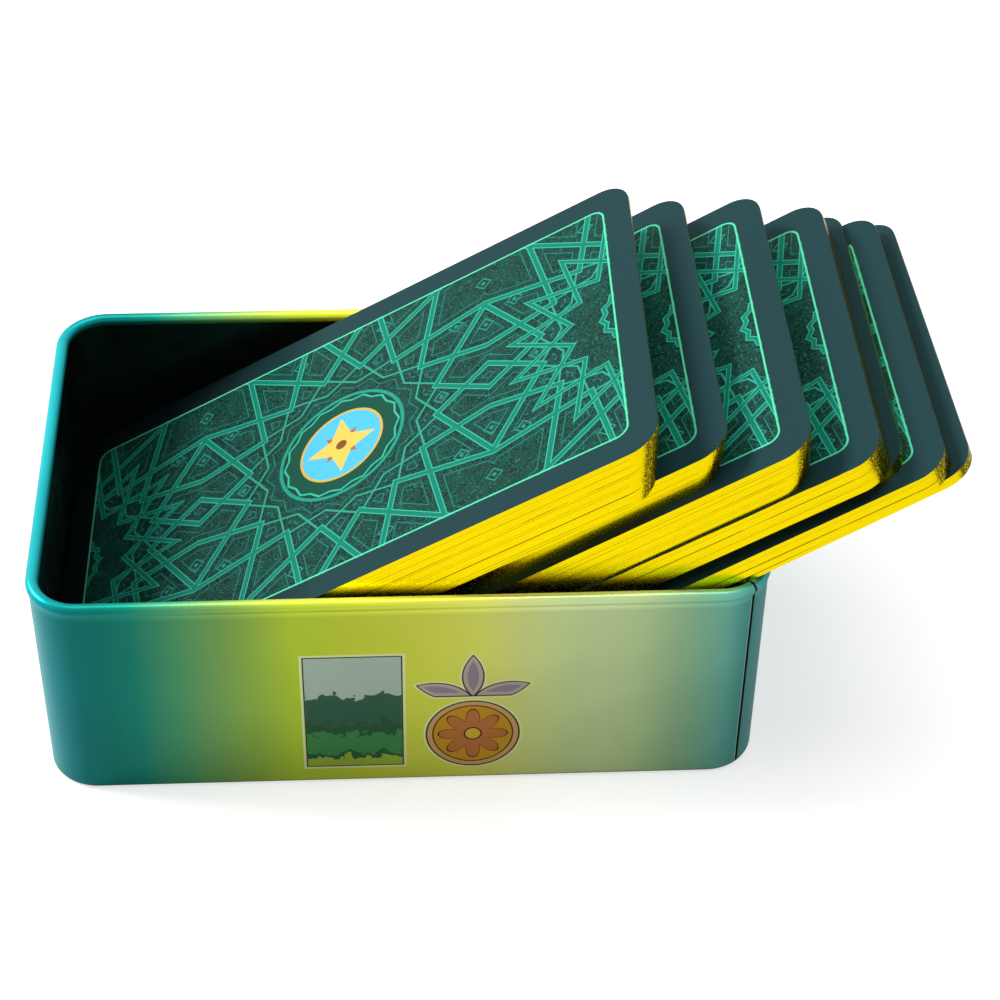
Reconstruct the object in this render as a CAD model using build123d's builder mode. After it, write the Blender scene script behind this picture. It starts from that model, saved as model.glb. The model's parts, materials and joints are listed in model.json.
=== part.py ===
from build123d import *
import os
from math import acos, cos, degrees, radians, sin, sqrt, tan

# An open tinplate card box with its deck of gilt-edged cards stood in it on a slope. The deck is fanned
# into seven packets: the lowest stands on the floor of the box and leans on the rim of the right end.
# All sizes are millimetres. The origin is the middle of the box's footprint, +Z up, +X to the right.

# --- the cards ----------------------------------------------------------------------------------------
card_length = 120.0
card_width = 72.0
card_corner = 5.5
card_thickness = 0.42
card_air = 0.045  # air that lies between two cards of a packet
ruffle = 0.16  # how far the middle cards of a packet stand out of line
middle_flats = 2  # flats that stand for each round corner of the middle cards, to keep the model light

# --- the box: a lacquered tinplate wall and a drawn bottom panel, made to fit the cards ----------------
end_clearance = 0.36  # between the cards, laid flat, and the rim at each end
side_clearance = 2.16  # between them and the rim at the front and at the back
box_height = 43.7
corner_radius = 8.7
sheet = 0.28

# the rolled rim: the sheet swells outwards, then curls inwards into a closed round bead
bead_radius = 1.1
bead_proud = 0.36  # how far the bead stands out from the wall
swell_radius = 1.6

# the foot: the wall's lower edge, turned in under the bottom panel
foot_bend = 1.0
foot_width = 2.4

# the bottom panel: a shallow drawn tray with its field raised clear of the table
panel_fit = 0.06  # clearance between the panel's skirt and the wall
panel_bend = 0.7  # width and height of the slanted bend between the skirt and the land
panel_skirt = 1.6  # straight height of the skirt
panel_land = 2.8  # flat that lies on the foot
panel_step = 2.4  # run of the slope from the land up to the field
panel_rise = 1.4  # how far the field stands above the land
field_margin = 0.6  # width of the field's own border

# the lock seam: the sheet's two ends hooked together and flattened, at the front right corner
seam_angle = -51.0  # its place round the corner, in degrees from the +X direction
seam_width = 4.4
seam_layers = 2  # layers that the fold adds inside the wall
seam_slit = 0.5  # open line between the two ends, outside
seam_slit_depth = 0.3
slit_rounding = 0.1
seam_panel_gap = 0.5  # between the panel's skirt and the fold
seam_curl_gap = 0.6  # between the fold and the curl
curl_joint = 0.3  # gap between the two ends of the curl

# --- how the deck stands ------------------------------------------------------------------------------
deck_tilt = 30.8
rest_gap = 0.1  # clearance at the rim and at the floor
wall_gap = 0.3  # clearance between the top packet and the left end wall

# Each packet, from the top down: its name, its number of cards, how far its right end stands back from
# the lowest packet's, how far it sits off the box's middle line, its turn on the slope in degrees, and
# its lean: 0 where its ends are square to the slope, 1 where they are upright. The top packet has no
# set-back of its own, because it stands against the left end wall, or on the floor if that comes first.
packets = [
    ("packet_1", 22, None, -1.15, -0.6, 0.97),
    ("packet_2", 12, 31.4, 1.5, 0.6, 1.22),
    ("packet_3", 16, 19.2, -0.3, 0.5, 0.86),
    ("packet_4", 12, 10.3, -0.6, 0.4, 0.15),
    ("packet_5", 4, 8.6, 1.6, 0.5, 0.0),
    ("packet_6", 8, 2.6, -2.0, 1.25, 0.2),
    ("packet_7", 4, 0.0, -1.3, 2.1, 0.2),
]

bead_inset = 2 * bead_radius - bead_proud  # how far the bead reaches inwards from the wall's outer face
half_length = card_length / 2 + end_clearance + bead_inset
half_width = card_width / 2 + side_clearance + bead_inset
bead_height = box_height - bead_radius
curl_bottom = bead_height - bead_radius
os.makedirs("parts", exist_ok=True)


def save(part, name):
    part.label = name
    export_step(part, f"parts/{name}.step")


# The wall's outer face in plan, run round anticlockwise.
with BuildLine() as outline:
    FilletPolyline(
        (half_length, -half_width),
        (half_length, half_width),
        (-half_length, half_width),
        (-half_length, -half_width),
        radius=corner_radius,
        close=True,
    )
box_outline = outline.wire()

# The sections of the wall and the panel are drawn where that outline starts, square to it, with local X
# measured outwards from the wall's outer face.
section_plane = Plane(
    origin=box_outline @ 0,
    x_dir=(box_outline % 0).cross(Vector(0, 0, 1)),
    z_dir=-(box_outline % 0),
)

# The seam is drawn on planes through the centre of the corner's bend, with local X towards the seam.
corner_centre = (half_length - corner_radius, corner_radius - half_width)
seam_direction = (cos(radians(seam_angle)), sin(radians(seam_angle)), 0)


def seam_plane(height):
    return Plane(origin=(*corner_centre, height), x_dir=seam_direction, z_dir=(0, 0, 1))


# --- wall: one strip of sheet, its foot turned in and its rim curled -----------------------------------
swell_turn = degrees(acos(1 - bead_proud / (swell_radius + bead_radius)))
swell_height = (swell_radius + bead_radius) * sin(radians(swell_turn))
seam_bottom = sheet + panel_bend + panel_skirt + seam_panel_gap
seam_top = curl_bottom - seam_curl_gap
seam_half_turn = degrees(seam_width / 2 / corner_radius)
seam_outer = corner_radius - sheet / 2
seam_inner = corner_radius - sheet - seam_layers * sheet

with BuildPart() as wall:
    with BuildSketch(section_plane):
        with BuildLine():
            foot = Line((-foot_bend - foot_width, 0), (-foot_bend, 0))
            heel = JernArc(foot @ 1, foot % 1, foot_bend, 90)
            upright = Line(heel @ 1, (0, bead_height - swell_height))
            JernArc(upright @ 1, upright % 1, swell_radius, -swell_turn)
            offset(amount=sheet, side=Side.LEFT)
        make_face()
        with Locations((bead_proud - bead_radius, bead_height)):
            Circle(bead_radius)
    sweep(path=box_outline)

    # the folded strip that the lock seam leaves inside
    with BuildSketch(seam_plane(seam_bottom)):
        with BuildLine():
            outer_arc = CenterArc((0, 0), seam_outer, -seam_half_turn, 2 * seam_half_turn)
            inner_arc = CenterArc((0, 0), seam_inner, -seam_half_turn, 2 * seam_half_turn)
            Line(outer_arc @ 0, inner_arc @ 0)
            Line(outer_arc @ 1, inner_arc @ 1)
        make_face()
    extrude(amount=seam_top - seam_bottom)

    # the open line between the sheet's two ends, with its folded edges rounded
    with BuildSketch(seam_plane(foot_bend)):
        with Locations((corner_radius - seam_slit_depth, 0)):
            Rectangle(corner_radius, seam_slit, align=(Align.MIN, Align.CENTER))
    extrude(amount=bead_height - swell_height - foot_bend, mode=Mode.SUBTRACT)
    slit_edges = wall.edges(Select.LAST).filter_by(Axis.Z).sort_by_distance((*corner_centre, foot_bend))
    fillet(slit_edges[-2:], slit_rounding)

    # the joint between the two ends of the bead
    with BuildSketch(seam_plane(bead_height - swell_height)):
        with Locations((corner_radius - sheet, 0)):
            Rectangle(corner_radius, curl_joint, align=(Align.MIN, Align.CENTER))
    extrude(amount=swell_height + 2 * bead_radius, mode=Mode.SUBTRACT)
save(wall.part, "tin_wall")


# --- bottom: a drawn tray that stands on the foot, with its field raised by a sloping step --------------
field_inset = sheet + panel_fit + panel_bend + panel_land + panel_step + field_margin
floor_height = sheet + panel_rise + sheet

with BuildPart() as bottom:
    with BuildSketch(section_plane):
        with BuildLine():
            skirt_face = -sheet - panel_fit
            skirt = Line((skirt_face, sheet + panel_bend + panel_skirt), (skirt_face, sheet + panel_bend))
            bend = Line(skirt @ 1, skirt @ 1 - (panel_bend, panel_bend))
            land = Line(bend @ 1, bend @ 1 - (panel_land, 0))
            step = Line(land @ 1, land @ 1 + (-panel_step, panel_rise))
            Line(step @ 1, step @ 1 - (field_margin, 0))
            offset(amount=sheet, side=Side.RIGHT, kind=Kind.INTERSECTION)
        make_face()
    sweep(path=box_outline)
    with BuildSketch(Plane.XY.offset(floor_height - sheet)):
        RectangleRounded(
            2 * (half_length - field_inset),
            2 * (half_width - field_inset),
            corner_radius - field_inset,
        )
    extrude(amount=sheet)
save(bottom.part, "tin_bottom")


# --- cards: seven packets on the slope, each made of single cards ---------------------------------------
slope = radians(deck_tilt)
card_pitch = card_thickness + card_air


def reach(turn):
    """Half the length that a turned card takes up along the slope, its round corners counted."""
    long_side = card_length / 2 - card_corner
    short_side = card_width / 2 - card_corner
    return long_side * cos(radians(turn)) + short_side * sin(abs(radians(turn))) + card_corner


# The lowest packet's side edges lie over the round corners of the rim, which reach furthest up through
# the slope where those edges cross them, so the deck is carried there, a little above the straight rim.
_, lowest_cards, _, lowest_offset, lowest_turn, lowest_lean = packets[-1]
floor_to_rim = (box_height - floor_height) / sin(slope)
offset_at_rim = lowest_offset + (floor_to_rim - reach(lowest_turn)) * tan(radians(lowest_turn))
edge_at_rim = abs(offset_at_rim) + card_width / 2 / cos(radians(lowest_turn))
bead_ring = corner_radius + bead_proud - bead_radius
past_corner = edge_at_rim - (half_width - corner_radius)
corner_rise = (bead_ring - sqrt(bead_ring**2 - past_corner**2)) * sin(slope)
rim_rise = bead_radius + corner_rise + rest_gap

# The deck's plane is the underside of the lowest card. Its origin is over the bead of the right end
# wall, and its local X runs up the slope.
deck_plane = Plane(
    origin=(
        half_length + bead_proud - bead_radius - rim_rise * sin(slope),
        0,
        bead_height + rim_rise * cos(slope),
    ),
    x_dir=(cos(slope), 0, sin(slope)),
    z_dir=(-sin(slope), 0, cos(slope)),
)


def card_planes(places, turn):
    """Planes at the given places of the deck's plane: (up the slope, across it, above it)."""
    return [Plane(deck_plane.location * Location(place, (0, 0, turn))) for place in places]


def make_card(place, turn):
    with BuildPart() as card:
        with BuildSketch(*card_planes([place], turn)):
            RectangleRounded(card_length, card_width, card_corner)
        extrude(amount=card_thickness)
    return card.part


def make_middle_cards(places, turn):
    """Cards whose round corners are cut as a few flats each: twelve sides, shared by four corners."""
    sides = 4 * (middle_flats + 1)
    with BuildPart() as cards:
        with BuildSketch(*card_planes(places, turn)):
            with GridLocations(card_length - 2 * card_corner, card_width - 2 * card_corner, 2, 2):
                RegularPolygon(card_corner, sides, major_radius=False, rotation=180 / sides)
            make_hull()
        extrude(amount=card_thickness)
    return cards.part


upright_slip = card_pitch * tan(slope)  # slip from card to card that stands a packet's ends upright


def top_on_floor(level, cards, turn, lean):
    """The middle of a packet's top card, up the slope, where its lowest card stands on the floor."""
    heel = (floor_height + rest_gap - deck_plane.origin.Z - level * cos(slope)) / sin(slope)
    return heel + reach(turn) + (cards - 1) * lean * upright_slip


lowest_top = top_on_floor(0, lowest_cards, lowest_turn, lowest_lean)
level = card_pitch * sum(cards for _, cards, *_ in packets)

for name, cards, set_back, off_middle, turn, lean in packets:
    level -= cards * card_pitch
    if set_back is None:
        top_face = level + cards * card_pitch
        left_end = sheet + wall_gap - half_length - deck_plane.origin.X
        at_wall = (left_end + top_face * sin(slope)) / cos(slope) + reach(turn)
        top_middle = max(at_wall, top_on_floor(level, cards, turn, lean))
    else:
        top_middle = lowest_top - set_back
    places = []
    for card in range(cards):
        inner = 0 < card < cards - 1
        along = top_middle - card * lean * upright_slip + inner * ruffle * sin(2.4 * card)
        across = off_middle + inner * ruffle * cos(1.7 * card)
        places.append((along, across, level + (cards - 1 - card) * card_pitch))
    save(make_card(places[0], turn), f"{name}_top_card")
    if cards > 2:
        save(make_middle_cards(places[1:-1], turn), f"{name}_middle_cards")
    save(make_card(places[-1], turn), f"{name}_bottom_card")
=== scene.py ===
import bpy
import json
from math import acos, atan2, cos, hypot, pi, radians, sin
from mathutils import Matrix, Vector


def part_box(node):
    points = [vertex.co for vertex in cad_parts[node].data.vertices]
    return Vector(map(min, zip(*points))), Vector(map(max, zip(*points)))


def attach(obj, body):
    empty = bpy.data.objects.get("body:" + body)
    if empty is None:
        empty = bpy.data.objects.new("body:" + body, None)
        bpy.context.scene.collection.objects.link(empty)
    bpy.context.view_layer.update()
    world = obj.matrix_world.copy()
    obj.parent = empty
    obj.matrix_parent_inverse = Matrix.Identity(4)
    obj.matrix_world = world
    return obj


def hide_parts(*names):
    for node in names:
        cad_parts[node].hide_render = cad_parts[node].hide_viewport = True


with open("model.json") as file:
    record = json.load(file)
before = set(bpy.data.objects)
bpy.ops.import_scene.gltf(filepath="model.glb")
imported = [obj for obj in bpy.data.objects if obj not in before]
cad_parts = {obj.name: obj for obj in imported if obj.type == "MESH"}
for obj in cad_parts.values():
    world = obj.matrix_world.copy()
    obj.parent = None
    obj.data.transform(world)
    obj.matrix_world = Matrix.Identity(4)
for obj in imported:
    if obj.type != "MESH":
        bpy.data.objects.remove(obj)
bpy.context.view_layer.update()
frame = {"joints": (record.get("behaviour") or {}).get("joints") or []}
bpy.ops.object.select_all(action="DESELECT")
scene = bpy.context.scene
scene.view_settings.view_transform = "Standard"
mm = 0.001

# --- Table, room and lamps ----------------------------------------------------------------------------
# The tin stands on a plain white table in a bright room: a large soft lamp from the left, a broad weak
# one overhead and an even room light. The room is white where it is seen or mirrored.
table_size = 4.0
table_seen = 0.66  # how white the table is by itself where it is looked at, on top of its light
table_mirrored = 0.25  # and where gloss mirrors it
room_light = 0.25
key_place = Vector((-0.95, 0.30, 0.80))
key_size = 0.42
key_power = 15.0
top_place = Vector((0.05, 0.22, 1.08))
top_size = 0.80
top_power = 8.0
lamp_aim = Vector((0, 0, 0.03))


def linear(hex_colour):
    """An sRGB hex colour as the linear RGBA that shaders take."""
    levels = [int(hex_colour[i : i + 2], 16) / 255 for i in (1, 3, 5)]
    return (*[v / 12.92 if v <= 0.04045 else ((v + 0.055) / 1.055) ** 2.4 for v in levels], 1.0)


def add(tree, kind, *values, out=0, sockets=None, **settings):
    """Add a shader node, give it settings and values or links in socket order, and return an output."""
    node = tree.nodes.new("ShaderNode" + kind)
    for name, value in settings.items():
        setattr(node, name, value)
    for key, value in [*enumerate(values), *(sockets or {}).items()]:
        if isinstance(value, bpy.types.NodeSocket):
            tree.links.new(value, node.inputs[key])
        elif value is not None:
            node.inputs[key].default_value = value
    return node.outputs[out] if node.outputs else node


def new_finish(name):
    """A new material with an empty node tree, and that tree."""
    made = bpy.data.materials.new(name)
    made.use_nodes = True
    made.node_tree.nodes.clear()
    return made, made.node_tree


room = bpy.data.worlds.new("white_room")
scene.world = room
room.use_nodes = True
tree = room.node_tree
tree.nodes.clear()
seen = add(tree, "LightPath", out="Is Camera Ray")
mirrored = seen.node.outputs["Is Glossy Ray"]
through = seen.node.outputs["Is Transmission Ray"]
shown = add(tree, "Math", add(tree, "Math", seen, mirrored, operation="ADD"), through, operation="ADD")
strength = add(tree, "MapRange", shown, 0.0, 1.0, room_light, 1.0)
background = add(tree, "Background", linear("#ffffff"), strength)
add(tree, "OutputWorld", background)

bpy.ops.mesh.primitive_plane_add(size=table_size)
table = bpy.context.object
table.name = "table_top"

# Matt white laminate, with no grain or gloss: an even white that keeps the tin's soft shadow.
white_table, tree = new_finish("white_laminate_table")
seen = add(tree, "LightPath", out="Is Camera Ray")
mirrored = add(tree, "Math", seen.node.outputs["Is Glossy Ray"], table_mirrored, operation="MULTIPLY")
shown = add(tree, "Math", seen, table_seen, mirrored, operation="MULTIPLY_ADD")
glow = add(tree, "Emission", linear("#ffffff"), shown)
top = add(tree, "BsdfDiffuse", linear("#cccccc"))
add(tree, "OutputMaterial", add(tree, "AddShader", top, glow))
table.data.materials.append(white_table)

for name, place, size, power in [
    ("key_lamp", key_place, key_size, key_power),
    ("top_lamp", top_place, top_size, top_power),
]:
    bpy.ops.object.light_add(type="AREA", location=place)
    lamp = bpy.context.object
    lamp.name = name
    lamp.data.shape = "SQUARE"
    lamp.data.size = size
    lamp.data.energy = power
    lamp.rotation_euler = (place - lamp_aim).to_track_quat("Z", "Y").to_euler()

# --- Camera -------------------------------------------------------------------------------------------
# A short telephoto view from the front, a little to the left and well above, held slightly tilted.
camera_aim = Vector((20.4644, 33.7960, 0)) * mm
camera_distance = 501.208 * mm
camera_azimuth = radians(-3.4647)
camera_height = radians(41.5612)
camera_roll = radians(1.0492)
back = Vector(
    (
        sin(camera_azimuth) * cos(camera_height),
        -cos(camera_azimuth) * cos(camera_height),
        sin(camera_height),
    )
)
level_right = Vector((0, 0, 1)).cross(back).normalized()
level_up = back.cross(level_right)
right = level_right * cos(camera_roll) + level_up * sin(camera_roll)
up = level_up * cos(camera_roll) - level_right * sin(camera_roll)
bpy.ops.object.camera_add()
camera = bpy.context.object
camera.data.sensor_width = 36
camera.data.lens = 90.82
camera.data.clip_start = 0.01
camera.matrix_world = Matrix((right, up, back)).transposed().to_4x4()
camera.location = camera_aim + back * camera_distance
scene.camera = camera

# --- Tin wall -----------------------------------------------------------------------------------------
# One strip of lacquered tinplate bent round four corners, with its foot turned in under the bottom and
# its rim curled inwards into a bead. Its two ends are hooked together in a lock seam at a front corner.
wall_high = Vector(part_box("tin_wall")[1])
sheet = 0.28 * mm
bead_radius = 1.1 * mm
bead_proud = 0.36 * mm
bead_turn = radians(265)
swell_radius = 1.6 * mm
foot_bend = 1.0 * mm
foot_width = 2.4 * mm
corner_radius = 8.7 * mm
seam_angle = radians(-51)
slit_width = 0.5 * mm  # of the seam's open line
slit_depth = 0.5 * mm
lap_depth = 0.08 * mm  # where the end that is bent over dips towards the line
tuck_depth = 0.06 * mm  # and where the other end goes under it
butt_depth = 0.3 * mm  # of the bead's butt joint
seam_inset = 2.5 * mm  # how far in from the corner's face a point still belongs to the seam
crease_angle = radians(30)
weld_distance = 0.002 * mm
half_length = wall_high.x - bead_proud
half_width = wall_high.y - bead_proud
bead_centre = Vector((half_length + bead_proud - bead_radius, 0, wall_high.z - bead_radius))
swell_turn = acos(1 - bead_proud / (swell_radius + bead_radius))
swell_base = bead_centre.z - (swell_radius + bead_radius) * sin(swell_turn)
straight_top = swell_base + 0.1 * mm
corner_centre = Vector((half_length - corner_radius, half_width - corner_radius, 0))


def new_point(name, place):
    """A new mesh of one vertex, left in edit mode with the vertex selected."""
    bpy.ops.mesh.primitive_plane_add(size=mm, location=(0, 0, 0))
    piece = bpy.context.object
    piece.name = name
    bpy.ops.object.mode_set(mode="EDIT")
    bpy.ops.mesh.merge(type="CENTER")
    bpy.ops.transform.translate(value=place)
    return piece


def draw_out(*move):
    """Extrude what is selected by a move."""
    bpy.ops.mesh.extrude_region_move(TRANSFORM_OT_translate={"value": move})


def bend_round(centre, turn, steps, axis=(0, 1, 0)):
    """Turn by the right-hand rule about axis; the spin operator counts the other way."""
    bpy.ops.mesh.spin(steps=steps, angle=-turn, center=centre, axis=axis)


def run_round_box(corner_steps=12, seam_steps=()):
    """Carry the drawn section round the box, clockwise from the middle of its right end."""
    x, y = corner_centre.x, corner_centre.y
    quarter = [(pi / 2, corner_steps)]
    bpy.ops.mesh.select_all(action="SELECT")
    for move, corner, turns in [
        ((0, -y, 0), (x, -y, 0), seam_steps or quarter),
        ((-2 * x, 0, 0), (-x, -y, 0), quarter),
        ((0, 2 * y, 0), (-x, y, 0), quarter),
        ((2 * x, 0, 0), (x, y, 0), quarter),
    ]:
        draw_out(*move)
        for turn, steps in turns:
            bend_round(corner, -turn, steps, (0, 0, 1))
    draw_out(0, -y, 0)
    bpy.ops.mesh.select_all(action="SELECT")
    bpy.ops.mesh.remove_doubles(threshold=weld_distance)
    bpy.ops.mesh.normals_make_consistent(inside=False)


def select_points(piece, wanted):
    """Select the vertices that a test picks by their place, and nothing else."""
    bpy.ops.mesh.select_all(action="DESELECT")
    bpy.ops.object.mode_set(mode="OBJECT")
    for point in piece.data.vertices:
        point.select = wanted(point.co)
    bpy.ops.object.mode_set(mode="EDIT")


def thicken(piece, thickness):
    """Give the sheet its thickness on the inside and smooth it up to its creases."""
    bpy.ops.object.mode_set(mode="OBJECT")
    bpy.ops.object.modifier_add(type="SOLIDIFY")
    shell = piece.modifiers["Solidify"]
    shell.thickness = thickness
    shell.offset = -1
    shell.use_even_offset = True
    shell.material_offset = 1
    bpy.ops.object.modifier_apply(modifier="Solidify")
    bpy.ops.object.shade_smooth_by_angle(angle=crease_angle)


# Coloured lacquer printed on tinplate and baked: colours that run from teal at the ends to yellow-green,
# with painted light in them at the left end and over the right half, the metal shining softly through
# them, and a thin clear coat that adds only a faint gloss.
wall_lacquer, tree = new_finish("printed_lacquer_on_tinplate")
print_half = 62.5  # mm from the middle of the front to where the colours end
spot = add(tree, "TexCoord", out="Object")
spot_mm = add(tree, "VectorMath", spot, sockets={"Scale": 1 / mm}, operation="SCALE")
across = add(tree, "SeparateXYZ", spot_mm)
upwards = across.node.outputs["Z"]
flat_plan = add(tree, "VectorMath", spot_mm, (1, 1, 0), operation="MULTIPLY")
fade = add(tree, "MapRange", across, -print_half, print_half)
tints = add(tree, "ValToRGB", fade)
ramp = tints.node.color_ramp
# the print's own run of colours with painted light in it: the brighter teal at the left end is painted
# light where that end faces the lamp, and the pale tones over the right half are partly a painted
# reflection
lacquer_tints_and_painted_light = [
    # (mm from the middle of the front, colour)
    (-62.5, "#1fa0a6"), (-59, "#06868b"), (-55, "#02736f"), (-50, "#03746a"), (-45, "#10806d"),
    (-38, "#4a9767"), (-31, "#76a659"), (-25, "#94b748"), (-18, "#b5ce38"), (-8, "#c8d53c"),
    (6, "#d4db50"), (13, "#d8df64"), (20, "#d3db85"), (27, "#c9dd99"), (34, "#c4da9f"), (40, "#bbd298"),
    (47, "#96be93"), (51, "#80b897"), (55, "#6cb3a1"), (58, "#50a69a"), (62.5, "#33999d"),
]
while len(ramp.elements) < len(lacquer_tints_and_painted_light):
    ramp.elements.new(0.5)
for stop, (place, tint) in zip(ramp.elements, lacquer_tints_and_painted_light):
    stop.position = (place + print_half) / (2 * print_half)
    stop.color = linear(tint)

# a small printed picture low on the front: hills in an upright panel, and a flower in an amber disc
# under a fan of leaves, each with a dark line round it and a pale margin; sizes in mm
faces_front = -0.99
panel_middle = (-8.5, 17.5)
panel_half = (8.5, 13.5)
hill_waver = 9.0
far_hill_waver = -7.0
disc_middle = (12.0, 11.5)
disc_radius = 8.2
petals = 8
petal_half = 3.0  # half of a petal's length
stalk_top = (12.0, 20.5)
leaf_fan = pi / 5  # half the turn from one leaf to the next
leaf_middle = 5.2  # from the stalk to where a leaf is widest
leaf_half = 2.0  # its half width there
leaf_taper = -0.075
leaf_foot = 0.2


def off_line(tree, distance, at):
    """How far a point is from the line where a distance comes to a set value."""
    return add(tree, "Math", add(tree, "Math", distance, at, operation="SUBTRACT"), operation="ABSOLUTE")


outward = add(tree, "SeparateXYZ", add(tree, "NewGeometry", out="Normal"), out="Y")
on_front = add(tree, "Math", outward, faces_front, operation="LESS_THAN")
flat = add(tree, "CombineXYZ", across, upwards, 0.0)
wander = add(tree, "TexNoise", flat, sockets={"Scale": 0.45, "Detail": 3.0}, out="Fac")
from_panel = add(tree, "VectorMath", flat, (*panel_middle, 0), operation="SUBTRACT")
from_panel = add(tree, "VectorMath", from_panel, operation="ABSOLUTE")
past_panel = add(tree, "VectorMath", from_panel, (*panel_half, 0), operation="SUBTRACT")
past_side = add(tree, "SeparateXYZ", past_panel)
panel_edge = add(tree, "Math", past_side, past_side.node.outputs["Y"], operation="MAXIMUM")
ridge = add(tree, "Math", wander, hill_waver, upwards, operation="MULTIPLY_ADD")
ridge_back = add(tree, "Math", wander, far_hill_waver, upwards, operation="MULTIPLY_ADD")

from_disc = add(tree, "VectorMath", flat, (*disc_middle, 0), operation="SUBTRACT")
disc_out = add(tree, "VectorMath", from_disc, operation="LENGTH", out="Value")
disc_side = add(tree, "SeparateXYZ", from_disc)
disc_turn = add(tree, "Math", disc_side.node.outputs["Y"], disc_side, operation="ARCTAN2")
petal_turn = add(tree, "Math", disc_turn, pi / petals, operation="PINGPONG")
petal = add(tree, "Math", petal_turn, petals / 2, operation="MULTIPLY")
petal = add(tree, "Math", petal, operation="COSINE")
petal_out = add(tree, "Math", petal, petal_half, petal_half, operation="MULTIPLY_ADD")
petal_edge = add(tree, "Math", disc_out, petal_out, operation="SUBTRACT")

from_stalk = add(tree, "VectorMath", flat, (*stalk_top, 0), operation="SUBTRACT")
leaf_out = add(tree, "VectorMath", from_stalk, operation="LENGTH", out="Value")
leaf_side = add(tree, "SeparateXYZ", from_stalk)
leaf_turn = add(tree, "Math", leaf_side, leaf_side.node.outputs["Y"], operation="ARCTAN2")
leaf_turn = add(tree, "Math", leaf_turn, leaf_fan, operation="ADD")
leaf_fold = add(tree, "Math", leaf_turn, leaf_fan, operation="PINGPONG")
leaf_along = add(tree, "Math", leaf_out, leaf_middle, operation="SUBTRACT")
leaf_along = add(tree, "Math", leaf_along, 2.0, operation="POWER")
leaf_swell = add(tree, "Math", leaf_along, leaf_taper, leaf_half, operation="MULTIPLY_ADD")
leaf_wide = add(tree, "Math", leaf_out, off_line(tree, leaf_fold, leaf_fan), operation="MULTIPLY")
leaf_edge = add(tree, "Math", leaf_wide, leaf_swell, operation="SUBTRACT")
leaf_end = add(tree, "Math", leaf_foot, leaf_side.node.outputs["Y"], operation="SUBTRACT")
leaf_edge = add(tree, "Math", leaf_edge, leaf_end, operation="MAXIMUM")

picture = tints
inks = [
    # (distance from the shape's edge in mm, how far inside it the ink starts, ink, shape it is kept to)
    (panel_edge, -0.45, "#dfe6a6", None),
    (panel_edge, 0.0, "#27361f", None),
    (panel_edge, 0.25, "#a9bcae", None),
    (ridge_back, -18.0, "#35604b", panel_edge),
    (ridge, -19.5, "#2c5a3a", panel_edge),
    (ridge, -16.5, "#3f8a4b", panel_edge),
    (ridge_back, -3.8, "#2b5b3f", panel_edge),
    (ridge_back, -2.8, "#9ab43c", panel_edge),
    (leaf_edge, -0.35, "#dfe6a6", None),
    (leaf_edge, 0.0, "#3a2f33", None),
    (leaf_edge, 0.28, "#b3a59a", None),
    (leaf_edge, 1.0, "#8f8390", None),
    (disc_out, -disc_radius - 0.35, "#dfe6a6", None),
    (disc_out, -disc_radius, "#3f2a1c", None),
    (disc_out, -disc_radius + 0.3, "#c9a06a", None),
    (disc_out, -disc_radius + 1.15, "#3f2a1c", None),
    (disc_out, -disc_radius + 1.4, "#c69320", None),
    (petal_edge, -0.14, "#4a2c1c", None),
    (petal_edge, 0.14, "#b9743c", None),
    (disc_out, -1.6, "#4a2c1c", None),
    (disc_out, -1.3, "#d9b13a", None),
]
ink_blur = 0.05
hills_inset = 0.25  # of the hills from their panel's edge
for edge, inset, ink, kept_to in inks:
    cover = add(tree, "MapRange", edge, -inset - ink_blur, -inset + ink_blur, 1.0, 0.0)
    if kept_to is not None:
        inside = add(
            tree, "MapRange", kept_to, -hills_inset - ink_blur, -hills_inset + ink_blur, 1.0, 0.0
        )
        cover = add(tree, "Math", cover, inside, operation="MULTIPLY")
    cover = add(tree, "Math", cover, on_front, operation="MULTIPLY")
    picture = add(tree, "Mix", data_type="RGBA", sockets={0: cover, 6: picture, 7: linear(ink)}, out=2)

# uneven lacquer: soft clouds a centimetre or two across, and orange-peel of about a millimetre
cloud = add(tree, "TexNoise", spot_mm, sockets={"Scale": 0.06, "Detail": 2.0}, out="Fac")
depth = add(tree, "MapRange", cloud, 0.3, 0.7, 0.94, 1.05)
# a painted highlight along the folded edge beside the seam's open line, where the rounded fold catches
# the light, up to the rim; heights in mm
rim_height = 40.8
shine_off_slit = 0.42
bend_radius = corner_radius / mm
bend_middle = Vector((corner_centre.x, -corner_centre.y, 0)) / mm
from_bend = add(tree, "VectorMath", flat_plan, bend_middle, operation="SUBTRACT")
bend_side = add(tree, "SeparateXYZ", from_bend)
bend_turn = add(tree, "Math", bend_side.node.outputs["Y"], bend_side, operation="ARCTAN2")
slit_place = bend_radius * -seam_angle + shine_off_slit
off_slit = add(tree, "Math", bend_turn, bend_radius, slit_place, operation="MULTIPLY_ADD")
painted_fold_highlight = add(tree, "Math", off_slit, operation="ABSOLUTE")
painted_fold_highlight = add(tree, "MapRange", painted_fold_highlight, 0.08, 0.16, 0.75, 0.0)
below_rim = add(tree, "MapRange", upwards, rim_height - 0.2, rim_height + 0.2, 1.0, 0.0)
painted_fold_highlight = add(tree, "Math", painted_fold_highlight, below_rim, operation="MULTIPLY")
picture = add(
    tree, "Mix", data_type="RGBA", sockets={0: painted_fold_highlight, 6: picture, 7: linear("#c6dcc4")}, out=2
)
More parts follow.
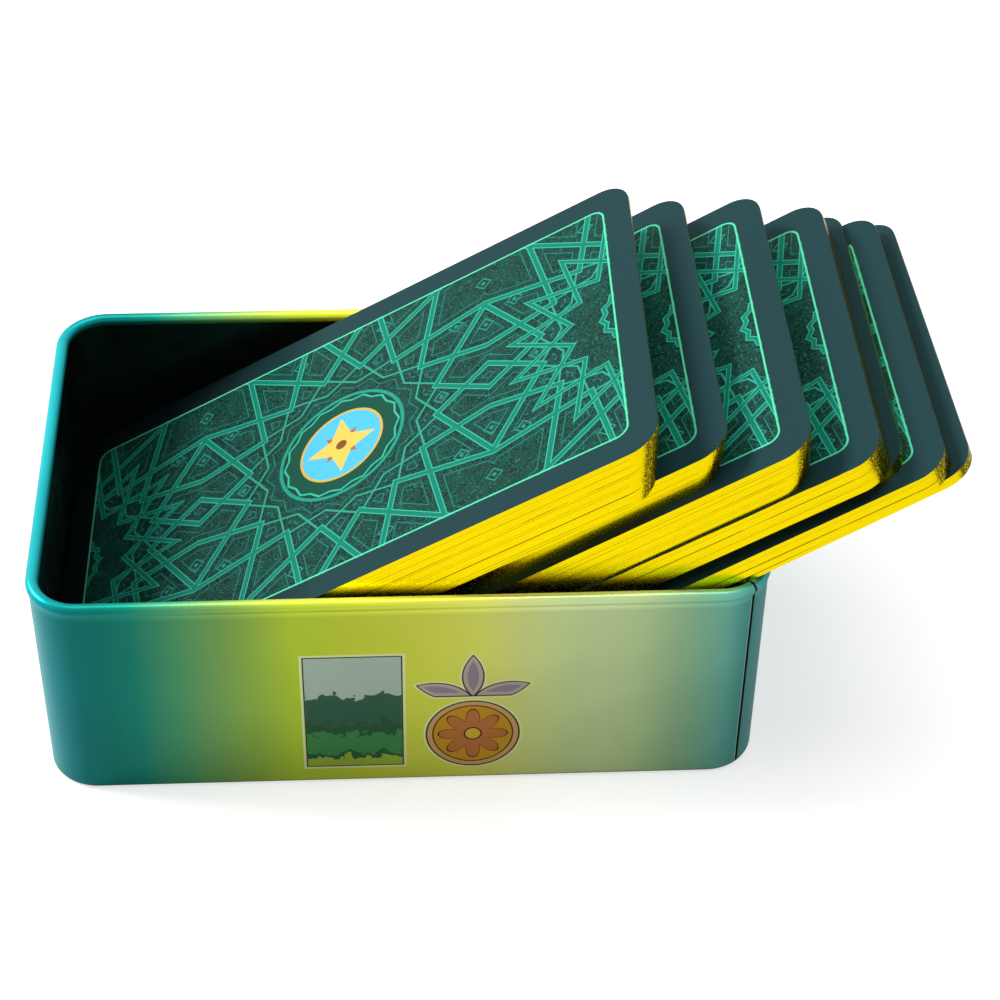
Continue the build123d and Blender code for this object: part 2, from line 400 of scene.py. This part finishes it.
# painted light: the curled rim is painted brighter where it faces the light from above, and the foot's
# bend is painted dark as the contact shadow under the tin
painted_rim_light = add(tree, "MapRange", upwards, rim_height - 0.4, rim_height + 0.4, 1.0, 1.3)
painted_foot_shadow = add(tree, "MapRange", upwards, 0.25, foot_bend / mm, 0.12, 1.0)
wear_and_painted_light = add(tree, "Math", painted_rim_light, painted_foot_shadow, operation="MULTIPLY")
depth = add(tree, "Math", depth, wear_and_painted_light, operation="MULTIPLY")
finish = add(tree, "VectorMath", picture, sockets={"Scale": depth}, operation="SCALE")
peel = add(tree, "TexNoise", spot_mm, sockets={"Scale": 0.9, "Detail": 2.0}, out="Fac")
peel_bump = add(tree, "Bump", 0.06, 0.0001, sockets={"Height": peel})
dull = add(tree, "MapRange", cloud, 0.3, 0.7, 0.3, 0.38)
lacquer = add(
    tree,
    "BsdfPrincipled",
    sockets={
        "Base Color": finish,
        "Metallic": 0.5,
        "Roughness": dull,
        "Specular IOR Level": 0.03,
        "Coat Weight": 0.06,
        "Coat Roughness": 0.06,
        "Coat IOR": 1.5,
        "Normal": peel_bump,
        "Coat Normal": peel_bump,
    },
)
add(tree, "OutputMaterial", lacquer)

# Black gloss lacquer on the inside of the same sheet: nearly black, with clear soft reflections.
black_lacquer, tree = new_finish("black_gloss_lacquer")
spot = add(tree, "TexCoord", out="Object")
spot_mm = add(tree, "VectorMath", spot, sockets={"Scale": 1 / mm}, operation="SCALE")
haze = add(
    tree, "TexNoise", spot_mm, sockets={"Scale": 0.15, "Detail": 5.0, "Roughness": 0.65}, out="Fac"
)
darkest, palest = linear("#04100f"), linear("#0a1c19")
tint = add(tree, "Mix", data_type="RGBA", sockets={0: haze, 6: darkest, 7: palest}, out=2)
dull = add(tree, "MapRange", haze, 0.3, 0.75, 0.16, 0.32)
peel = add(tree, "TexNoise", spot_mm, sockets={"Scale": 0.9, "Detail": 2.0}, out="Fac")
lacquer = add(
    tree,
    "BsdfPrincipled",
    sockets={
        "Base Color": tint,
        "Roughness": dull,
        "IOR": 1.5,
        "Normal": add(tree, "Bump", 0.08, 0.0001, sockets={"Height": peel}),
    },
)
add(tree, "OutputMaterial", lacquer)

wall = new_point("rolled_wall", (half_length - foot_bend - foot_width, 0, 0))
draw_out(foot_width, 0, 0)
bend_round((half_length - foot_bend, 0, foot_bend), -pi / 2, 8)
draw_out(0, 0, swell_base - foot_bend)
bend_round((half_length + swell_radius, 0, swell_base), swell_turn, 4)
bend_round(bead_centre, -(swell_turn + bead_turn), 26)
slit_turn = slit_width / corner_radius
seam_reach = 3 * slit_turn
run_round_box(
    seam_steps=[
        (-seam_angle - seam_reach, 8),
        (2 * seam_reach, 24),
        (pi / 2 + seam_angle - seam_reach, 6),
    ]
)


def seam_turn(place):
    """Angle from the seam's line, round the corner that it is in."""
    return atan2(place.y + corner_centre.y, place.x - corner_centre.x) - seam_angle


def near_seam(place, first, last):
    """Whether a point of the corner is between two turns from the seam's line, in slit widths."""
    out = hypot(place.x - corner_centre.x, place.y + corner_centre.y)
    if out <= corner_radius - seam_inset:
        return False
    return first * slit_turn < seam_turn(place) < last * slit_turn


def press_seam(first, last, depth, on_bead=False):
    """Press in the wall, or else the bead over it, along a part of the seam."""
    low, high = (straight_top, 2 * wall_high.z) if on_bead else (foot_bend / 2, straight_top)
    select_points(wall, lambda at: low < at.z < high and near_seam(at, first, last))
    bpy.ops.transform.shrink_fatten(value=-depth)


# the open line between the strip's two folded ends, the left one bent over the right one, and the butt
# joint of the bead over it
press_seam(-0.45, 0.45, slit_depth)
press_seam(-0.8, -0.45, lap_depth)
press_seam(0.45, 1.3, tuck_depth)
press_seam(-0.2, 0.2, butt_depth, on_bead=True)
wall.data.materials.append(wall_lacquer)
wall.data.materials.append(black_lacquer)
thicken(wall, sheet)

# the flat folded strip that the seam leaves inside the wall
fold_width = 4.4 * mm
fold_low = 3.08 * mm
fold_gap = 0.6 * mm  # between the strip and the bead
fold_edge = 0.15 * mm
fold_high = wall_high.z - 2 * bead_radius - fold_gap
fold_turn = fold_width / 2 / corner_radius
fold_start = seam_angle + fold_turn
fold_out = Vector((cos(fold_start), sin(fold_start), 0)) * (corner_radius - sheet)
fold = new_point("seam_fold", Vector((corner_centre.x, -corner_centre.y, fold_low)) + fold_out)
draw_out(0, 0, fold_high - fold_low)
bend_round((corner_centre.x, -corner_centre.y, 0), -2 * fold_turn, 8, (0, 0, 1))
bpy.ops.mesh.select_all(action="SELECT")
bpy.ops.mesh.normals_make_consistent(inside=False)
fold.data.materials.append(black_lacquer)
thicken(fold, 2 * sheet)
bpy.ops.object.modifier_add(type="BEVEL")
fold.modifiers["Bevel"].width = fold_edge
fold.modifiers["Bevel"].segments = 2
bpy.ops.object.modifier_apply(modifier="Bevel")
wall.select_set(True)
bpy.context.view_layer.objects.active = wall
bpy.ops.object.join()
bpy.ops.object.shade_smooth_by_angle(angle=crease_angle)
# the faces down in the seam's open line and the bead's butt joint take the black inside lacquer: partly
# the black sheet that shows through the gap, partly painted shade of the deep narrow gap
for face in wall.data.polygons:
    if face.center.z > foot_bend / 2 and near_seam(face.center, -0.5, 0.5):
        face.material_index = 1
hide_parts("tin_wall")
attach(wall, "tin")

# --- Tin bottom ---------------------------------------------------------------------------------------
# A shallow tray drawn from one sheet of lacquered tinplate. Its skirt fits inside the wall, its land
# rests on the turned-in foot, and a sloping step carries its field clear of the table.
panel_fit = 0.06 * mm
panel_bend = 0.7 * mm
panel_skirt = 1.6 * mm
panel_land = 2.8 * mm
panel_step = 2.4 * mm
panel_rise = 1.4 * mm
field_margin = 0.6 * mm
step_round = 0.9 * mm
round_rise = 0.18 * mm  # of the short slope that eases each end of the step
hair = 0.01 * mm
skirt_x = half_length - sheet - panel_fit

# Bare tinplate under a clear wash on the underside: a soft grey metal with fine marks from the rolls,
# drawn as long streaks about half a millimetre wide.
bare_tinplate, tree = new_finish("clear_washed_tinplate")
spot = add(tree, "TexCoord", out="Object")
stretched = add(tree, "Mapping", spot, sockets={"Scale": (60.0, 2000.0, 2000.0)})
streaks = add(tree, "TexNoise", stretched, sockets={"Scale": 1.0, "Detail": 4.0}, out="Fac")
darkest, palest = linear("#b9b9b2"), linear("#d2d1ca")
tint = add(tree, "Mix", data_type="RGBA", sockets={0: streaks, 6: darkest, 7: palest}, out=2)
metal = add(
    tree,
    "BsdfPrincipled",
    sockets={
        "Base Color": tint,
        "Metallic": 1.0,
        "Roughness": add(tree, "MapRange", streaks, 0.3, 0.7, 0.28, 0.4),
        "Normal": add(tree, "Bump", 0.1, 0.00005, sockets={"Height": streaks}),
    },
)
add(tree, "OutputMaterial", metal)

bottom = new_point("drawn_bottom", (skirt_x, 0, sheet + panel_bend + panel_skirt))
draw_out(0, 0, -panel_skirt)
bend_round((skirt_x - panel_bend, 0, sheet + panel_bend), pi / 2, 6)
draw_out(-(panel_land - step_round / 2), 0, 0)
draw_out(-step_round, 0, round_rise)
draw_out(-(panel_step - step_round), 0, panel_rise - 2 * round_rise)
draw_out(-step_round, 0, round_rise)
draw_out(-(field_margin - step_round / 2), 0, 0)
run_round_box(corner_steps=8)
field_x = skirt_x - panel_bend - panel_land - panel_step - field_margin
field_y = field_x - half_length + half_width
select_points(
    bottom,
    lambda at: abs(at.z - sheet - panel_rise) < hair
    and abs(at.x) < field_x + hair
    and abs(at.y) < field_y + hair,
)
bpy.ops.mesh.edge_face_add()
bpy.ops.mesh.select_all(action="SELECT")
bpy.ops.mesh.normals_make_consistent(inside=False)
bottom.data.materials.append(bare_tinplate)
bottom.data.materials.append(black_lacquer)
thicken(bottom, sheet)
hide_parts("tin_bottom")
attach(bottom, "tin")

# --- Cards --------------------------------------------------------------------------------------------
# Seventy-eight tall cards of coated board, die-cut with round corners and gilded on their edges as one
# block. They lie in seven packets, fanned down a slope from the rim of the right end to the floor.
card_length = 119.94 * mm
card_width = 72 * mm
card_corner = 5.5 * mm
card_thickness = 0.464 * mm
card_face = 0.21 * mm  # of the printed back over the middle of the board
ruffle = 0.025 * mm
ruffle_beats = (2.4, 1.7)
tone_beat = 0.618
packet_cards = {1: 22, 2: 12, 3: 16, 4: 12, 5: 4, 6: 8, 7: 4}  # packet: how many cards

# Card backs printed in green and teal inks and coated satin: a slate border, a bright frame line, and a
# lattice of straps that cross round sixteen-fold stars, over a dark mottled ground with fine pale
# scrolls. Sizes are in mm from the card's middle.
card_print, tree = new_finish("satin_coated_card_back")
star_apart = 30.0  # from one star's middle to the line where the next one is mirrored
folds = 16
fold = pi / folds
card_place = add(tree, "Attribute", out="Vector", attribute_name="card_mm")
flat = add(tree, "VectorMath", card_place, (1, 1, 0), operation="MULTIPLY")
side = add(tree, "SeparateXYZ", flat)
star_x = add(tree, "Math", side, star_apart, operation="PINGPONG")
star_y = add(tree, "Math", side.node.outputs["Y"], operation="ABSOLUTE")
star_place = add(tree, "CombineXYZ", star_x, star_y, 0.0)
star_out = add(tree, "VectorMath", star_place, operation="LENGTH", out="Value")
star_turn = add(tree, "Math", star_y, star_x, operation="ARCTAN2")
star_fold = add(tree, "Math", star_turn, fold, operation="PINGPONG")


def star_line(tree, leans, stands_off, facing=-1.0):
    """Distance to the straight line that stands off the star's middle and leans by so many folds."""
    turned = add(tree, "Math", star_fold, facing, leans * fold, operation="MULTIPLY_ADD")
    lean = add(tree, "Math", turned, operation="COSINE")
    return off_line(tree, add(tree, "Math", star_out, lean, operation="MULTIPLY"), stands_off)


def crossed_lines(tree, leans, stands_off):
    """Distance to such a line or to its mirror image, whichever is nearer."""
    return nearest(tree, [star_line(tree, leans, stands_off), star_line(tree, leans, stands_off, 1.0)])


def four_points(tree, reach, turned):
    """Distance past the edge of a four-pointed star, less than nothing inside it."""
    turn = add(tree, "Math", star_turn, turned, operation="ADD")
    turn = add(tree, "Math", turn, pi / 4, operation="PINGPONG")
    lean = add(tree, "Math", point_slope, turn, operation="SUBTRACT")
    lean = add(tree, "Math", lean, operation="COSINE")
    out = add(tree, "Math", star_out, lean, operation="MULTIPLY")
    return add(tree, "Math", out, reach * cos(point_slope), operation="SUBTRACT")


def round_cornered(tree, flat, half, corner):
    """Distance past the edge of a round-cornered panel, less than nothing inside it."""
    beyond = add(tree, "VectorMath", flat, operation="ABSOLUTE")
    beyond = add(
        tree, "VectorMath", beyond, (half[0] - corner, half[1] - corner, 0), operation="SUBTRACT"
    )
    beyond_side = add(tree, "SeparateXYZ", beyond)
    outer = add(tree, "VectorMath", beyond, (0, 0, 0), operation="MAXIMUM")
    outer = add(tree, "VectorMath", outer, operation="LENGTH", out="Value")
    inner = add(tree, "Math", beyond_side, beyond_side.node.outputs["Y"], operation="MAXIMUM")
    inner = add(tree, "Math", inner, 0.0, operation="MINIMUM")
    past = add(tree, "Math", outer, inner, operation="ADD")
    return add(tree, "Math", past, corner, operation="SUBTRACT")


def nearest(tree, distances):
    """The least of some distances."""
    close = distances[0]
    for distance in distances[1:]:
        close = add(tree, "Math", close, distance, operation="MINIMUM")
    return close


# straps and cords that cross between the stars, with a fine line inside each cell that they leave
strap_half = 0.9
cord_half = 0.3
cell_inset = 1.1
strap = nearest(tree, [crossed_lines(tree, 5, 14.0), star_line(tree, 7, 14.0)])
cord = nearest(tree, [crossed_lines(tree, 3, 14.5), crossed_lines(tree, 6, 21.0)])
off_strap = add(tree, "Math", strap, strap_half, operation="SUBTRACT")
off_cord = add(tree, "Math", cord, cord_half, operation="SUBTRACT")
cell_line = off_line(tree, nearest(tree, [off_strap, off_cord]), cell_inset)

# small lozenges in the larger cells
gem_places = [(30.0, 26.0), (9.0, 27.5), (30.0, 14.0), (20.5, 0.0), (24.0, 17.5)]
gem_half = 1.5
gems = []
for gem_x, gem_y in gem_places:
    beside = off_line(tree, star_x, gem_x)
    above = off_line(tree, star_y, gem_y)
    gems.append(add(tree, "Math", beside, above, operation="ADD"))
gem = nearest(tree, gems)
gem_line = off_line(tree, gem, gem_half)

# the middle star: a ring, a scalloped edge, and a round sky with a gold star over a copper one
ring_radius = 12.6
scallop_radius = 11.9
sky_radius = 8.6
sky_margin = 0.4
gold_reach = 7.0
copper_reach = 4.6
point_slope = 3 * pi / 8
ring_line = off_line(tree, star_out, ring_radius)
scallop_turn = add(tree, "Math", star_fold, -1.0, 2 * fold, operation="MULTIPLY_ADD")
scallop_turn = add(tree, "Math", scallop_turn, operation="COSINE")
scallop = add(tree, "Math", star_out, scallop_turn, operation="MULTIPLY")
scallop = add(tree, "Math", scallop, scallop_radius * cos(2 * fold), operation="SUBTRACT")
scallop_line = add(tree, "Math", scallop, operation="ABSOLUTE")
middle_out = add(tree, "VectorMath", flat, operation="LENGTH", out="Value")
away = add(tree, "Math", middle_out, sky_radius, operation="SUBTRACT")
off_sky = add(tree, "Math", away, sky_margin, operation="ADD")
ray = four_points(tree, gold_reach, 0.0)
ray_line = add(tree, "Math", ray, operation="ABSOLUTE")
gold_ray = add(tree, "Math", ray, off_sky, operation="MAXIMUM")
between = four_points(tree, copper_reach, pi / 4)
between = add(tree, "Math", between, off_sky, operation="MAXIMUM")

# the two end stars are crossed by straps of their own in place of the middle star's figures
far_off = 99.0
from_middle = add(tree, "Math", side, operation="ABSOLUTE")
end_star = add(tree, "Math", from_middle, star_apart, operation="GREATER_THAN")
off_middle = add(tree, "Math", end_star, far_off, operation="MULTIPLY")
off_ends = add(tree, "Math", end_star, -far_off, far_off, operation="MULTIPLY_ADD")
disc, ring_line, scallop, scallop_line, ray, ray_line = [
    add(tree, "Math", shape, off_middle, operation="ADD")
    for shape in (star_out, ring_line, scallop, scallop_line, ray, ray_line)
]
inner_strap = nearest(tree, [star_line(tree, 3, 6.5), crossed_lines(tree, 5, 9.8)])
inner_strap = add(tree, "Math", inner_strap, off_ends, operation="ADD")

# the frame line, and the border outside it
frame_half = (55.0, 31.0)
frame_corner = 2.6
frame_inset = 0.3
frame_edge = round_cornered(tree, flat, frame_half, frame_corner)
outside = add(tree, "Math", frame_edge, -1.0, operation="MULTIPLY")
frame_line = off_line(tree, frame_edge, -frame_inset)

# the ground: inks that clump over a few millimetres, and scrolls about half a millimetre wide
clump = add(tree, "TexNoise", flat, sockets={"Scale": 0.28, "Detail": 5.0, "Roughness": 0.6}, out="Fac")
ground = add(
    tree,
    "Mix",
    data_type="RGBA",
    sockets={0: add(tree, "MapRange", clump, 0.35, 0.65), 6: linear("#07261f"), 7: linear("#083a31")},
    out=2,
)
curl = add(tree, "TexNoise", flat, sockets={"Scale": 0.8, "Detail": 1.5, "Distortion": 0.6}, out="Fac")
curl_bands = 7.0
curl = add(tree, "Math", add(tree, "Math", curl, curl_bands, operation="MULTIPLY"), operation="FRACT")
scroll = add(tree, "MapRange", off_line(tree, curl, 0.5), 0.05, 0.13, 0.7, 0.0)
printed = add(tree, "Mix", data_type="RGBA", sockets={0: scroll, 6: ground, 7: linear("#2b7a69")}, out=2)
inks = [
    # (distance from the shape, how far from it the ink reaches, ink)
    (cell_line, 0.1, "#1f7566"),
    (gem_line, 0.18, "#278473"),
    (gem, 0.5, "#278473"),
    (cord, 0.2, "#2c9680"),
    (strap, 0.62, "#37ae92"),
    (strap, 0.42, "#0b7763"),
    (inner_strap, 0.5, "#37ae92"),
    (inner_strap, 0.32, "#0b7763"),
    (disc, ring_radius, "#0b3a33"),
    (ring_line, 0.35, "#1f8f78"),
    (scallop, 0.0, "#0a4738"),
    (scallop_line, 0.2, "#32ab8e"),
    (ray, 0.0, "#0b7763"),
    (ray_line, 0.16, "#37ae92"),
    (away, 0.0, "#c9a640"),
    (away, -0.5, "#4fb4e4"),
    (between, 0.0, "#a5672c"),
    (gold_ray, 0.0, "#e0bd55"),
    (middle_out, 1.1, "#7a4a25"),
    (outside, 0.0, "#18383c"),
    (frame_line, 0.18, "#58cfa2"),
]
for distance, reach, ink in inks:
    cover = add(tree, "MapRange", distance, reach - ink_blur, reach + ink_blur, 1.0, 0.0)
    printed = add(tree, "Mix", data_type="RGBA", sockets={0: cover, 6: printed, 7: linear(ink)}, out=2)
fibre = add(tree, "TexNoise", flat, sockets={"Scale": 2.5, "Detail": 3.0}, out="Fac")
wear_and_painted_light = add(tree, "MapRange", fibre, 0.3, 0.7, 0.88, 1.08)
# painted shade: the print darkens towards the card's lower end, which lies deep in the tin's shade, and
# the border outside the frame darkens soonest
unshaded_from = -4.0
painted_shade = add(tree, "MapRange", side, -60.0, unshaded_from, 0.3, 1.0)
painted_border_shade = add(tree, "MapRange", side, -30.0, unshaded_from, 0.2, 1.0)
in_frame = add(tree, "MapRange", outside, -ink_blur, ink_blur)
painted_border_shade = add(tree, "Math", painted_border_shade, in_frame, operation="MAXIMUM")
painted_shade = add(tree, "Math", painted_shade, painted_border_shade, operation="MULTIPLY")
wear_and_painted_light = add(tree, "Math", wear_and_painted_light, painted_shade, operation="MULTIPLY")
printed = add(tree, "VectorMath", printed, sockets={"Scale": wear_and_painted_light}, operation="SCALE")
satin = add(
    tree,
    "BsdfPrincipled",
    sockets={
        "Base Color": printed,
        "Roughness": add(tree, "MapRange", clump, 0.3, 0.7, 0.38, 0.5),
        "Specular IOR Level": 0.07,
        "Normal": add(tree, "Bump", 0.05, 0.0001, sockets={"Height": fibre}),
    },
)
add(tree, "OutputMaterial", satin)

# The other side of a card: the same satin coat over a slate border and a pale printed field.
card_front, tree = new_finish("satin_coated_card_front")
card_place = add(tree, "Attribute", out="Vector", attribute_name="card_mm")
flat = add(tree, "VectorMath", card_place, (1, 1, 0), operation="MULTIPLY")
edge = round_cornered(tree, flat, frame_half, frame_corner)
clump = add(tree, "TexNoise", flat, sockets={"Scale": 0.1, "Detail": 4.0}, out="Fac")
field = add(
    tree, "Mix", data_type="RGBA", sockets={0: clump, 6: linear("#b9c2a4"), 7: linear("#8fb0a0")}, out=2
)
for past, ink in [(-0.8, "#2c474b"), (-0.4, "#4fcf9f"), (0.0, "#2c474b")]:
    cover = add(tree, "MapRange", edge, past - ink_blur, past + ink_blur)
    field = add(tree, "Mix", data_type="RGBA", sockets={0: cover, 6: field, 7: linear(ink)}, out=2)
fibre = add(tree, "TexNoise", flat, sockets={"Scale": 2.5, "Detail": 3.0}, out="Fac")
satin = add(
    tree,
    "BsdfPrincipled",
    sockets={
        "Base Color": field,
        "Roughness": add(tree, "MapRange", clump, 0.3, 0.7, 0.38, 0.5),
        "Specular IOR Level": 0.07,
        "Normal": add(tree, "Bump", 0.05, 0.0001, sockets={"Height": fibre}),
    },
)
add(tree, "OutputMaterial", satin)

# Gold foil burnished on to the cut edges of the clamped deck: bright yellow metal that shows the cut of
# the board as fine lines along each card, and a dark line on a few of them.
gilt, tree = new_finish("burnished_gilt_card_edge")
card_apart = 400.0  # mm through the pattern from one tone of card to the next
dark_line_tones = 0.86  # the cards whose tone is above this get a dark line
dark_line_height = 0.12  # mm over the middle of the board
dark_ends_start = 55.2  # mm from the card's middle
dark_ends_full = 57.6
place = add(tree, "Attribute", out="Vector", attribute_name="card_mm")
tone = add(tree, "Attribute", out="Fac", attribute_name="card_tone")
part = add(tree, "SeparateXYZ", place)
depth = part.node.outputs["Z"]
apart = add(tree, "CombineXYZ", 0.0, 0.0, add(tree, "Math", tone, card_apart, operation="MULTIPLY"))
shifted = add(tree, "VectorMath", place, apart, operation="ADD")
# the knife's marks run along the card, about a sixth of a millimetre apart; the foil's specks are about
# twice that, as coarse as it takes for them to show
long_marks = add(tree, "Mapping", shifted, sockets={"Scale": (0.1, 0.1, 6.0)})
cut = add(tree, "TexNoise", long_marks, sockets={"Scale": 1.0, "Detail": 3.0}, out="Fac")
specks = add(
    tree, "TexNoise", shifted, sockets={"Scale": 3.2, "Detail": 4.0, "Roughness": 0.7}, out="Fac"
)
# dark lines between a few of the cards, broken over a couple of centimetres
patches = add(tree, "Mapping", shifted, sockets={"Scale": (0.06, 0.06, 1.0)})
line_breaks = add(tree, "TexNoise", patches, sockets={"Scale": 1.0, "Detail": 5.0, "Roughness": 0.7}, out="Fac")
seam = add(tree, "MapRange", depth, dark_line_height - 0.04, dark_line_height + 0.04)
picked = add(tree, "Math", tone, dark_line_tones, operation="GREATER_THAN")
patchy = add(tree, "Math", picked, add(tree, "MapRange", line_breaks, 0.42, 0.5), operation="MULTIPLY")
dark_lines = add(tree, "Math", seam, patchy, operation="MULTIPLY")
# corners and short ends, darkened with specks: partly foil worn thin over the dark board, partly a
# painted reflection of the dark print of the packets beside them
from_middle = add(tree, "Math", part, operation="ABSOLUTE")
near_end = add(tree, "MapRange", from_middle, dark_ends_start, dark_ends_full)
worn_foil_and_painted_reflection = add(tree, "Math", specks, near_end, operation="MULTIPLY")
worn_foil_and_painted_reflection = add(tree, "MapRange", worn_foil_and_painted_reflection, 0.34, 0.52, 0.0, 0.9)
gold = add(
    tree,
    "Mix",
    data_type="RGBA",
    sockets={0: add(tree, "MapRange", cut, 0.35, 0.7), 6: linear("#ffe600"), 7: linear("#f9d800")},
    out=2,
)
dark_marks = add(tree, "Math", dark_lines, worn_foil_and_painted_reflection, operation="MAXIMUM")
gold = add(tree, "Mix", data_type="RGBA", sockets={0: dark_marks, 6: gold, 7: linear("#2c2210")}, out=2)
marks = add(tree, "Math", cut, specks, operation="ADD")
foil = add(
    tree,
    "BsdfPrincipled",
    sockets={
        "Base Color": gold,
        "Metallic": 1.0,
        "Roughness": add(tree, "MapRange", specks, 0.3, 0.7, 0.18, 0.34),
        "Normal": add(tree, "Bump", 0.12, 0.00005, sockets={"Height": marks}),
    },
)
add(tree, "OutputMaterial", foil)

bpy.ops.mesh.primitive_plane_add(size=1)
card = bpy.context.object
card.name = "card_blank"
bpy.ops.object.mode_set(mode="EDIT")
bpy.ops.mesh.select_all(action="SELECT")
bpy.ops.transform.resize(value=(card_length, card_width, 1))
bpy.ops.mesh.bevel(offset=card_corner, segments=9, affect="VERTICES")
bpy.ops.mesh.select_all(action="SELECT")
bpy.ops.transform.translate(value=(0, 0, card_face - card_thickness))
draw_out(0, 0, card_thickness)
bpy.ops.mesh.select_all(action="SELECT")
bpy.ops.mesh.normals_make_consistent(inside=False)
bpy.ops.object.mode_set(mode="OBJECT")
for finish in (card_print, card_front, gilt):
    card.data.materials.append(finish)
for face in card.data.polygons:
    face.material_index = 0 if face.normal.z > 0.5 else 1 if face.normal.z < -0.5 else 2


def lay_card(number, middle, turned):
    """A copy of the card blank, laid where it belongs, that remembers its own flat coordinates."""
    laid = card.copy()
    laid.data = card.data.copy()
    bpy.context.collection.objects.link(laid)
    places = laid.data.attributes.new("card_mm", "FLOAT_VECTOR", "POINT")
    for point, place in zip(laid.data.vertices, places.data):
        place.vector = point.co / mm
    laid.data.attributes.new("card_tone", "FLOAT", "POINT")
    for tone in laid.data.attributes["card_tone"].data:
        tone.value = (number * tone_beat) % 1
    laid.data.transform(Matrix.Translation(middle) @ turned)
    return laid


card_number = 0
for packet, count in packet_cards.items():
    name = f"packet_{packet}"
    slide = next(joint for joint in frame["joints"] if joint["name"] == f"{name}_slide")
    along = Vector(slide["axis"]).normalized()
    tilt = atan2(along.z, along.x)
    up_slope = Vector((cos(tilt), 0, sin(tilt)))
    face = Vector((-sin(tilt), 0, cos(tilt)))
    turned = Matrix((along, face.cross(along), face)).transposed().to_4x4()
    ends = []
    for end in ("top", "bottom"):
        low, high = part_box(f"{name}_{end}_card")
        ends.append((Vector(low) + Vector(high)) / 2)
    laid = []
    for place in range(count):
        middle = ends[0].lerp(ends[1], place / (count - 1))
        if 0 < place < count - 1:
            middle += up_slope * ruffle * sin(ruffle_beats[0] * place)
            middle += Vector((0, ruffle * cos(ruffle_beats[1] * place), 0))
        laid.append(lay_card(card_number, middle, turned))
        card_number += 1
    for node, cards, slot in [
        (f"{name}_top_card", laid[:1], "card_back_print"),
        (f"{name}_middle_cards", laid[1:-1], "gilt_card_edges"),
        (f"{name}_bottom_card", laid[-1:], "card_stock"),
    ]:
        bpy.ops.object.select_all(action="DESELECT")
        for one in cards:
            one.select_set(True)
        bpy.context.view_layer.objects.active = cards[0]
        if len(cards) > 1:
            bpy.ops.object.join()
        piece = bpy.context.view_layer.objects.active
        piece.name = f"{node}_dressed"
        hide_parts(node)
        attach(piece, name)
bpy.data.objects.remove(card)
